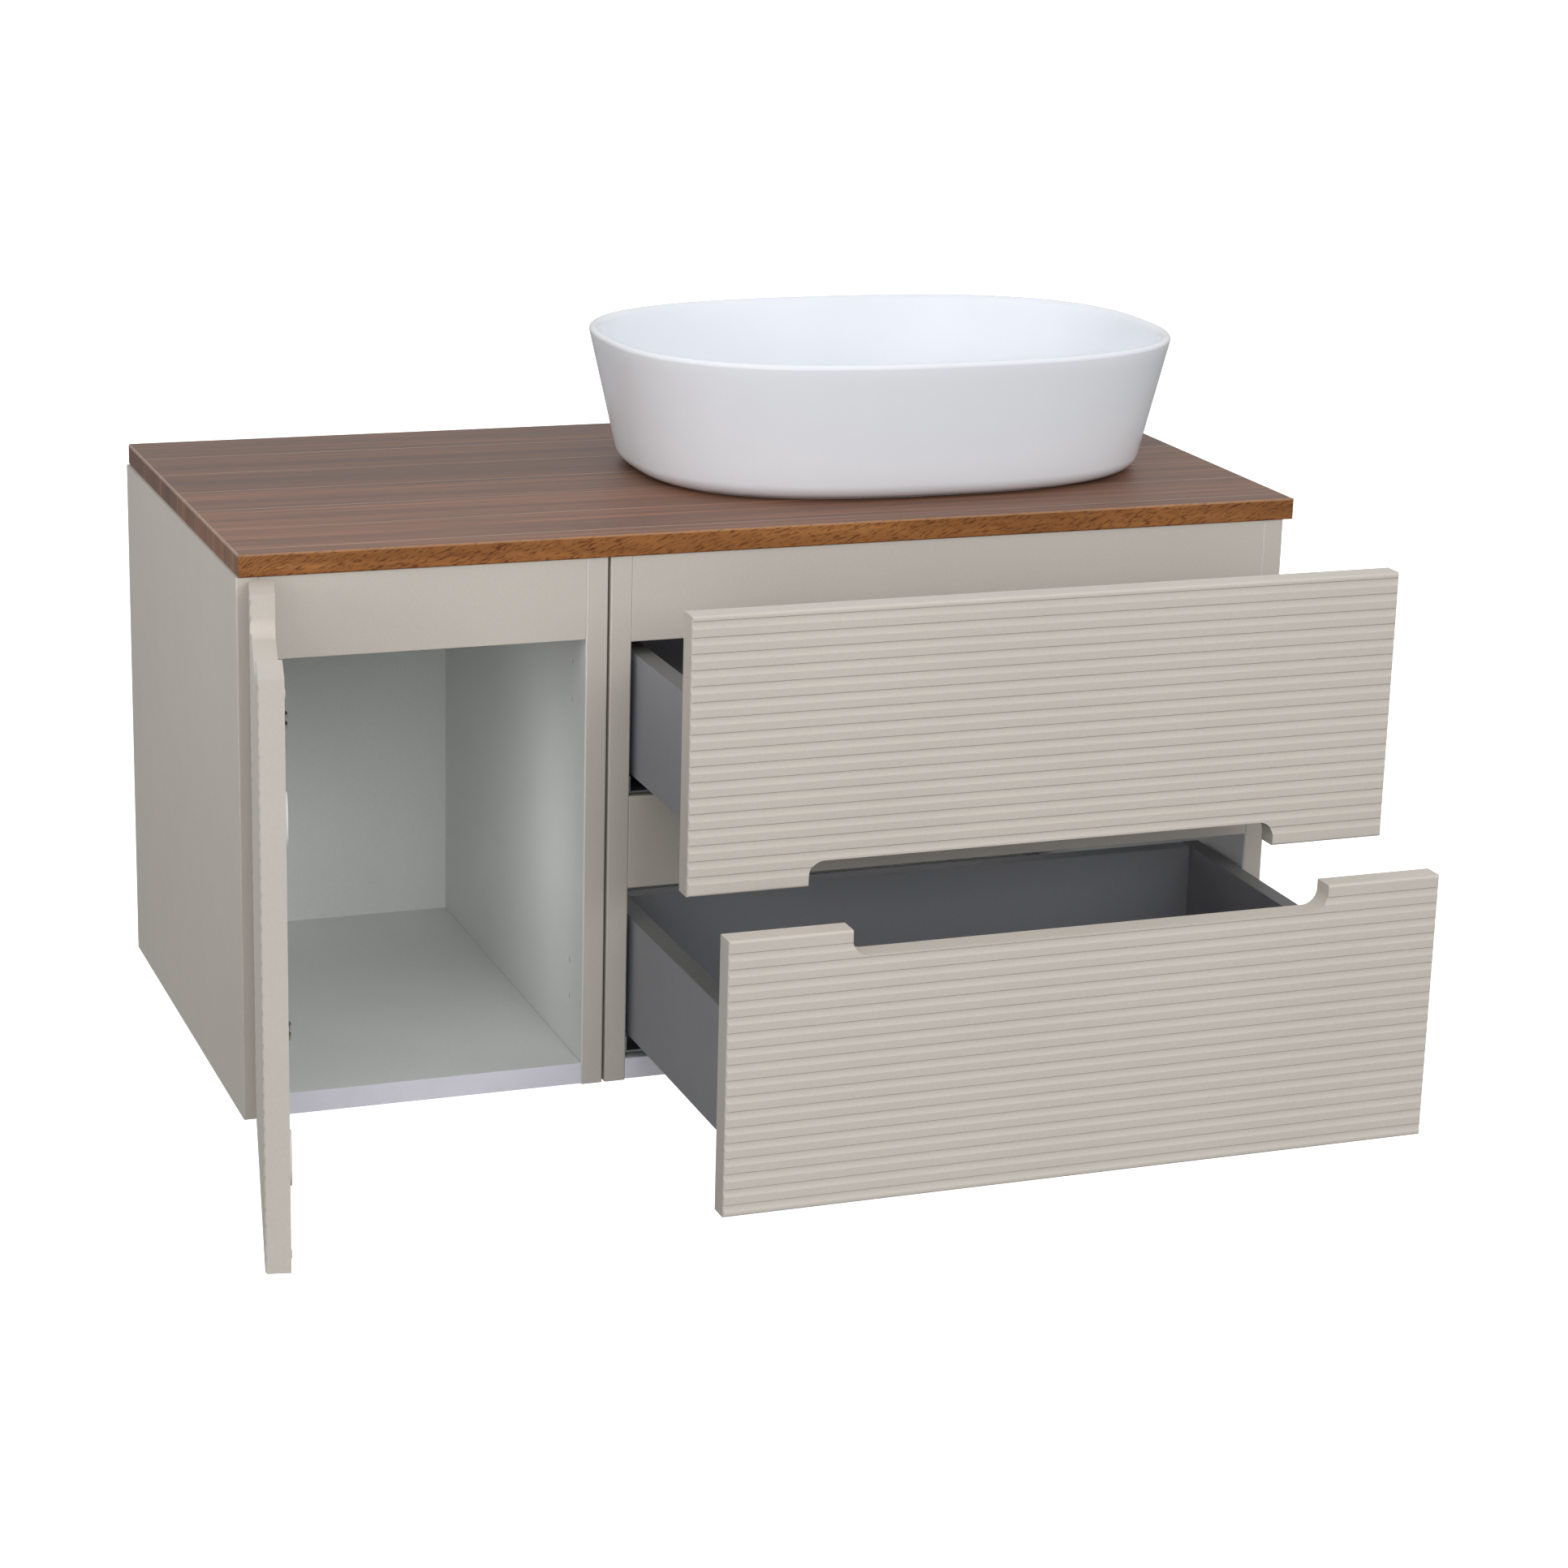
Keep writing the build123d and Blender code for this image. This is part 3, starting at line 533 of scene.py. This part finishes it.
def glazed_basin():
    """The ceramic shell as one closed skin: ring foot, flared wall, soft rim, bowl and waste seat."""
    low, high = basin_low.z, basin_high.z
    wall, wall_at_floor = 0.009, 0.0135
    foot_radius, rim_radius, bowl_radius = 0.013, 0.0042, 0.032
    floor_z = low + 0.0142
    hole_radius, seat_radius, seat_depth = 0.0232, 0.0328, 0.003
    recess_inset, recess_depth, boss_radius = 0.028, 0.004, 0.046
    steps = 10
    shape = bmesh.new()
    rings = []

    def add(inset, z):
        rings.append(oval_ring(shape, *(size - inset for size in outer_size(z)), z))

    def add_circle(radius, z):
        rings.append(oval_ring(shape, radius, radius, z, power=2.0))

    add_circle(hole_radius, low)
    add_circle(boss_radius, low)
    add_circle(boss_radius, low + recess_depth)
    add(recess_inset, low + recess_depth)
    add(recess_inset - 0.001, low)
    add(foot_radius + 0.002, low)
    for step in range(steps + 1):
        angle = pi / 2 * step / steps
        add(foot_radius * (1 - sin(angle)), low + foot_radius * (1 - cos(angle)))
    wall_top = high - rim_radius
    for step in range(1, steps):
        add(0.0, low + foot_radius + (wall_top - low - foot_radius) * step / steps)
    for step in range(steps + 1):
        angle = pi * step / steps
        add(wall / 2 * (1 - cos(angle)), wall_top + rim_radius * sin(angle))
    bowl_top = floor_z + bowl_radius
    for step in range(1, steps + 1):
        share = step / steps
        add(wall + (wall_at_floor - wall) * share, wall_top + (bowl_top - wall_top) * share)
    for step in range(1, steps + 1):
        angle = pi / 2 * step / steps
        add(wall_at_floor + bowl_radius * (1 - cos(angle)), bowl_top - bowl_radius * sin(angle))
    floor_size = [size - wall_at_floor - bowl_radius for size in outer_size(floor_z)]
    for step in range(1, steps):
        share = step / steps
        sizes = [size + (seat_radius - size) * share for size in floor_size]
        power = outline_power + (2.0 - outline_power) * share
        rings.append(oval_ring(shape, *sizes, floor_z, power=power))
    add_circle(seat_radius, floor_z)
    add_circle(seat_radius - 0.0008, floor_z - 0.0008)
    add_circle(seat_radius - 0.0008, floor_z - seat_depth)
    add_circle(hole_radius, floor_z - seat_depth)
    for first, second in zip(rings, rings[1:] + rings[:1]):
        for step in range(len(first)):
            following = (step + 1) % len(first)
            shape.faces.new((first[step], first[following], second[following], second[step]))
    sharp_edge = 0.7
    stand_for("basin_glazed", filled_mesh("basin_glazed", shape), "basin", smooth_angle=sharp_edge)


def domed_plug():
    """The click plug's softly domed cap on its stem."""
    low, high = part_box("waste_plug")
    centre = Vector(((low.x + high.x) / 2, (low.y + high.y) / 2, high.z))
    radius = (high.x - low.x) / 2
    dome, cap_edge, stem_radius = 0.0016, 0.0040, 0.0039
    stem_end = low.z - high.z
    steps = 12
    profile = []
    for step in range(steps + 1):
        share = step / steps
        profile.append((radius * 0.97 * share, -dome * share**3))
    profile += [(radius, -dome - 0.0010), (radius, -cap_edge + 0.0004), (radius - 0.0004, -cap_edge)]
    profile += [(stem_radius + 0.002, -cap_edge), (stem_radius, -cap_edge - 0.0008)]
    profile += [(stem_radius, stem_end + 0.0006), (stem_radius - 0.0006, stem_end), (0.0, stem_end)]
    shape = bmesh.new()
    lathe(shape, profile, centre, (0, 0, 1), 72)
    mesh = filled_mesh("waste_plug_domed", shape)
    stand_for("waste_plug_domed", mesh, "waste_plug", smooth_angle=soft_crease)


glazed_basin()
domed_plug()


# ---------------------------------------------------------------- boards


box_sides = (
    "upper_box_left_side",
    "upper_box_right_side",
    "lower_box_left_side",
    "lower_box_right_side",
)
# The drawer sides' top edges get a darker strip: painted shade, not a real edge band.
for box_side in box_sides:
    top_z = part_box(box_side)[1].z
    foil_name = box_side + "_foil"
    give(nodes[box_side], banded_or_shaded_board(foil_name, drawer_grey, drawer_top_shade_grey, "Z", top_z, 0.5))

square_boards = (
    "cupboard_left_side",
    "cupboard_right_side",
    "cupboard_bottom",
    "cupboard_apron",
    "cupboard_hanging_rail",
    "drawer_unit_left_side",
    "drawer_unit_right_side",
    "drawer_unit_bottom",
    "drawer_unit_apron",
    "drawer_unit_mid_rail",
    "drawer_unit_hanging_rail",
    "drawer_unit_lower_back_rail",
    "upper_box_front",
    "upper_box_back",
    "lower_box_front",
    "lower_box_back",
)
for board_name in square_boards:
    eased_board(board_name)


# ---------------------------------------------------------------- hinges and screws


hinge_heights = (-0.324, -0.069)
pivot = Vector((-0.4402, -0.4625, 0.0))
open_angle = radians(101.3)
swing = Matrix.Translation(pivot) @ Matrix.Rotation(-open_angle, 4, "Z") @ Matrix.Translation(-pivot)
cup_closed = Vector((-0.4265, -0.447, 0.0))


def on_door(point):
    """Where a point of the closed door is with the door open."""
    return swing @ Vector(point)


def screw(shape, face, axis, radius, thick):
    """A pan head with a cross recess; face is the middle of its outer face, axis points out of it."""
    along = Vector(axis).normalized()
    recess = radius * 0.6
    profile = [(0.0, -0.0010), (recess * 0.3, -0.0009), (recess * 0.42, -0.0001)]
    profile += [(recess, 0.0), (radius * 0.8, -thick * 0.12), (radius * 0.95, -thick * 0.4)]
    profile += [(radius, -thick * 0.7), (radius, -thick), (0.0, -thick)]
    lathe(shape, profile, face, along, 28)
    turn = Vector((0, 0, 1)).rotation_difference(along).to_matrix()
    slot_half, slot_reach, slot_lift = radius * 0.1, recess * 0.95, 0.00005
    for quarter in range(2):
        side = turn @ Vector((cos(pi / 2 * quarter), sin(pi / 2 * quarter), 0))
        across = along.cross(side)
        middle = Vector(face) + along * slot_lift
        corners = []
        for reach, offset in ((-1, -1), (1, -1), (1, 1), (-1, 1)):
            place = middle + side * (slot_reach * reach) + across * (slot_half * offset)
            corners.append(shape.verts.new(place))
        shape.faces.new(corners)


def screw_heads(name, node, places, axis, radius, thick):
    """The node's screws as heads at the given places, which are the middles of their outer faces."""
    shape = bmesh.new()
    for place in places:
        screw(shape, place, axis, radius, thick)
    stand_for(name, filled_mesh(name, shape), node, smooth_angle=soft_crease)


def hinge_cup_screws():
    """Two screws through each cup's flange into the door."""
    flange, thick, ear_reach = 0.0006, 0.0010, 0.024
    radius = 0.0033
    places = []
    for z in hinge_heights:
        for side in (-1, 1):
            places.append(on_door(cup_closed + Vector((0, flange + thick, z + side * ear_reach))))
    out_of_door = swing.to_3x3() @ Vector((0, 1, 0))
    screw_heads("hinge_cup_screw_heads", "hinge_cup_screws", places, out_of_door, radius, thick)


def hinge_plate_screws():
    """Two screws through the wings of each mounting plate."""
    low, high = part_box("hinge_plate_screws")
    y = (low.y + high.y) / 2
    hole_reach, radius, thick = 0.016, 0.0040, 0.0016
    places = [Vector((high.x, y, z + side * hole_reach)) for z in hinge_heights for side in (-1, 1)]
    screw_heads("hinge_plate_screw_heads", "hinge_plate_screws", places, (1, 0, 0), radius, thick)


def drawer_front_screws(drawer):
    """The screws inside a drawer box that hold its front."""
    low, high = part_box(drawer + "_front_screws")
    radius, thick = 0.0040, 0.0018
    xs = (low.x + radius, high.x - radius)
    zs = (low.z + radius, high.z - radius)
    places = [Vector((x, high.y, z)) for x in xs for z in zs]
    name = drawer + "_front_screw_heads"
    screw_heads(name, drawer + "_front_screws", places, (0, 1, 0), radius, thick)


def hinge_arms():
    """Pressed arms with folded edges, an adjusting screw and a fixing screw."""
    low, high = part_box("hinge_arms")
    shape = bmesh.new()
    fold, half_width = 0.0014, 0.006
    tip_share, widening = 0.72, 1.6
    tall = high.x - low.x
    long = high.y - low.y
    steps = 12
    for z in hinge_heights:
        sections = []
        for step in range(steps + 1):
            share = step / steps
            crown = tall * (0.8 + 0.2 * sin(pi * min(1.0, share * 1.1)))
            wide = half_width * min(1.0, tip_share + widening * share)
            y = low.y + long * share
            outline = (
                (0.0, -wide),
                (crown - fold, -wide),
                (crown - fold * 0.3, -wide + fold * 0.3),
                (crown, -wide + fold),
                (crown, wide - fold),
                (crown - fold * 0.3, wide - fold * 0.3),
                (crown - fold, wide),
                (0.0, wide),
            )
            sections.append([shape.verts.new((low.x + up, y, z + side)) for up, side in outline])
        skin(shape, sections)
        bmesh.ops.recalc_face_normals(shape, faces=shape.faces)
        screw_lift, screw_thick = 0.0005, 0.0012
        for share, radius in ((0.42, 0.0030), (0.78, 0.0034)):
            crown = tall * (0.8 + 0.2 * sin(pi * share * 1.1))
            face = Vector((low.x + crown + screw_lift, low.y + long * share, z))
            screw(shape, face, (1, 0, 0), radius, screw_thick)
    mesh = filled_mesh("hinge_arms_pressed", shape)
    stand_for("hinge_arms_pressed", mesh, "hinge_arms", smooth_angle=0.5)


def hinge_links():
    """The curved links between the arms and the cups."""
    arm_x, under_tip = -0.4245, 0.004
    start = Vector((arm_x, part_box("hinge_arms")[0].y + under_tip, 0.0))
    inside_cup = on_door(cup_closed + Vector((0.002, -0.0085, 0.0)))
    shoulder = on_door(cup_closed + Vector((-0.0150, 0.0140, 0.0)))
    neck = on_door(cup_closed + Vector((-0.0020, 0.0120, 0.0)))
    path = (start, shoulder, neck, inside_cup)
    half_sheet, half_width, gap = 0.0008, 0.0018, 0.0040
    steps = 18
    shape = bmesh.new()
    for z in hinge_heights:
        for side in (-1, 1):
            middle_z = z + side * gap
            sections = []
            for step in range(steps + 1):
                t = step / steps
                weights = ((1 - t) ** 3, 3 * t * (1 - t) ** 2, 3 * t * t * (1 - t), t**3)
                point = sum((share * place for share, place in zip(weights, path)), Vector())
                slopes = (3 * (1 - t) ** 2, 6 * t * (1 - t), 3 * t * t)
                steps_along = [second - first for first, second in zip(path, path[1:])]
                along = sum((share * leg for share, leg in zip(slopes, steps_along)), Vector())
                across = Vector((0, 0, 1)).cross(along).normalized()
                corners = []
                for reach, lift in ((-1, -1), (1, -1), (1, 1), (-1, 1)):
                    place = point + across * (half_sheet * reach)
                    place.z = middle_z + half_width * lift
                    corners.append(shape.verts.new(place))
                sections.append(corners)
            skin(shape, sections)
    piece = bpy.data.objects.new("hinge_links", filled_mesh("hinge_links", shape))
    bpy.context.scene.collection.objects.link(piece)
    give(piece, finishes["hinge_nickel"])
    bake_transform(piece)


def soft_bumpers(node, out_of_board):
    """The board's two bumpers as thin self-adhesive dots, flatter than the CAD's pads."""
    low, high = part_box(node)
    cad_thickness, cad_radius = 0.0017, 0.0040
    back = (low + high) / 2 - out_of_board * (cad_thickness / 2)
    radius, thick = 0.0039, 0.0009
    profile = [(0.0, thick), (radius * 0.6, thick * 0.92), (radius * 0.9, thick * 0.6)]
    profile += [(radius, 0.0002), (radius, 0.0), (0.0, 0.0)]
    shape = bmesh.new()
    for z in (low.z + cad_radius, high.z - cad_radius):
        lathe(shape, profile, (back.x, back.y, z), out_of_board, 28)
    stand_for(node + "_dots", filled_mesh(node + "_dots", shape), node, smooth_angle=soft_crease)


hinge_cup_screws()
hinge_plate_screws()
hinge_arms()
hinge_links()
soft_bumpers("door_bumpers", swing.to_3x3() @ Vector((0, 1, 0)))
pressed_edge = 0.0003
eased_board("hinge_cups", width=pressed_edge)
eased_board("hinge_plates", width=pressed_edge)
for drawer_name in ("upper", "lower"):
    drawer_front_screws(drawer_name)


# ---------------------------------------------------------------- studio


def area_light(name, place, target, size, watts, mirrored=True):
    """A rectangular light aimed at target; without mirrored it leaves no highlight in the glaze."""
    light = bpy.data.lights.new(name, "AREA")
    light.shape = "RECTANGLE"
    light.size, light.size_y = size
    light.energy = watts
    holder = bpy.data.objects.new(name, light)
    bpy.context.scene.collection.objects.link(holder)
    holder.location = place
    holder.rotation_euler = (Vector(target) - Vector(place)).to_track_quat("-Z", "Y").to_euler()
    holder.visible_glossy = mirrored
    return holder


def bright_world():
    """White surroundings, dim below the horizon and brighter above it."""
    world = bpy.data.worlds.new("studio")
    world.use_nodes = True
    tree = world.node_tree
    direction = tree.nodes.new("ShaderNodeTexCoord").outputs["Generated"]
    split = tree.nodes.new("ShaderNodeSeparateXYZ")
    tree.links.new(direction, split.inputs[0])
    glow = tree.nodes.new("ShaderNodeMapRange")
    for socket, value in (("From Min", -0.35), ("From Max", 0.4), ("To Min", 0.20), ("To Max", 0.80)):
        glow.inputs[socket].default_value = value
    tree.links.new(split.outputs["Z"], glow.inputs["Value"])
    background = tree.nodes["Background"]
    background.inputs["Color"].default_value = (1.0, 1.0, 1.0, 1.0)
    tree.links.new(glow.outputs["Result"], background.inputs["Strength"])
    bpy.context.scene.world = world


def pale_floor():
    """A plain floor well below the wall-hung vanity."""
    hanging_height = 0.40
    floor_size = 60.0
    floor_z = cad_box[0].z - hanging_height
    mesh = bpy.data.meshes.new("floor")
    shape = bmesh.new()
    bmesh.ops.create_grid(shape, x_segments=2, y_segments=2, size=floor_size / 2)
    shape.to_mesh(mesh)
    shape.free()
    floor = bpy.data.objects.new("floor", mesh)
    floor.location = (0, 0, floor_z)
    bpy.context.scene.collection.objects.link(floor)
    pale = Finish("pale_floor", roughness=0.9, specular_ior_level=0.1)
    tone = pale.noise(3.0, 3.0, 0.5)
    pale.set("Base Color", pale.ramp(tone, (0.3, srgb(246, 246, 246)), (0.7, srgb(250, 250, 250))))
    pale.shader.inputs["Emission Color"].default_value = (1.0, 1.0, 1.0, 1.0)
    pale.shader.inputs["Emission Strength"].default_value = 0.75
    floor.data.materials.append(pale.material)
    floor.visible_diffuse = False
    floor.visible_glossy = False


def soft_lights():
    """A broad key above the front, a fill from the left, and faint ones for the basin and cupboard."""
    middle = (cad_box[0] + cad_box[1]) / 2
    area_light("key", middle + Vector((0.2, -3.4, 1.5)), middle, (1.8, 1.4), 37.0, mirrored=False)
    area_light("left", middle + Vector((-1.9, -3.3, 0.3)), middle, (1.4, 1.6), 16.0)
    basin_side = Vector((basin_low.x, basin_centre.y, basin_centre.z))
    far_left = middle + Vector((-2.5, -0.6, 0.75))
    side = area_light("side", far_left, basin_side, (0.5, 0.5), 0.36, mirrored=False)
    side.data.spread = radians(32.0)
    doorway, inner_wall = Vector((-0.37, -0.42, -0.22)), Vector((-0.02, -0.27, -0.20))
    cupboard = area_light("cupboard", doorway, inner_wall, (0.05, 0.22), 0.03, mirrored=False)
    cupboard.visible_camera = False
    cupboard.data.spread = radians(80.0)


def camera():
    """A long lens from the front left, a little above the basin."""
    place = Vector((-1.03581, -3.20096, 0.70489))
    turn, dip, tilt = 0.3607, 0.2855, 0.0269
    sensor = 36.0
    focal_length = 85.65
    forward = Vector((sin(turn) * cos(dip), cos(turn) * cos(dip), -sin(dip)))
    level = Vector((cos(turn), -sin(turn), 0))
    upward = level.cross(forward)
    right = level * cos(tilt) + upward * sin(tilt)
    upward = upward * cos(tilt) - level * sin(tilt)
    eye = bpy.data.cameras.new("camera")
    eye.sensor_width = sensor
    eye.lens = focal_length
    eye.clip_start = 0.01
    holder = bpy.data.objects.new("camera", eye)
    columns = (right, upward, -forward)
    holder.matrix_world = Matrix.Translation(place) @ Matrix(columns).transposed().to_4x4()
    bpy.context.scene.collection.objects.link(holder)
    bpy.context.scene.camera = holder


bpy.context.scene.view_settings.view_transform = "Standard"
bright_world()
pale_floor()
soft_lights()
camera()
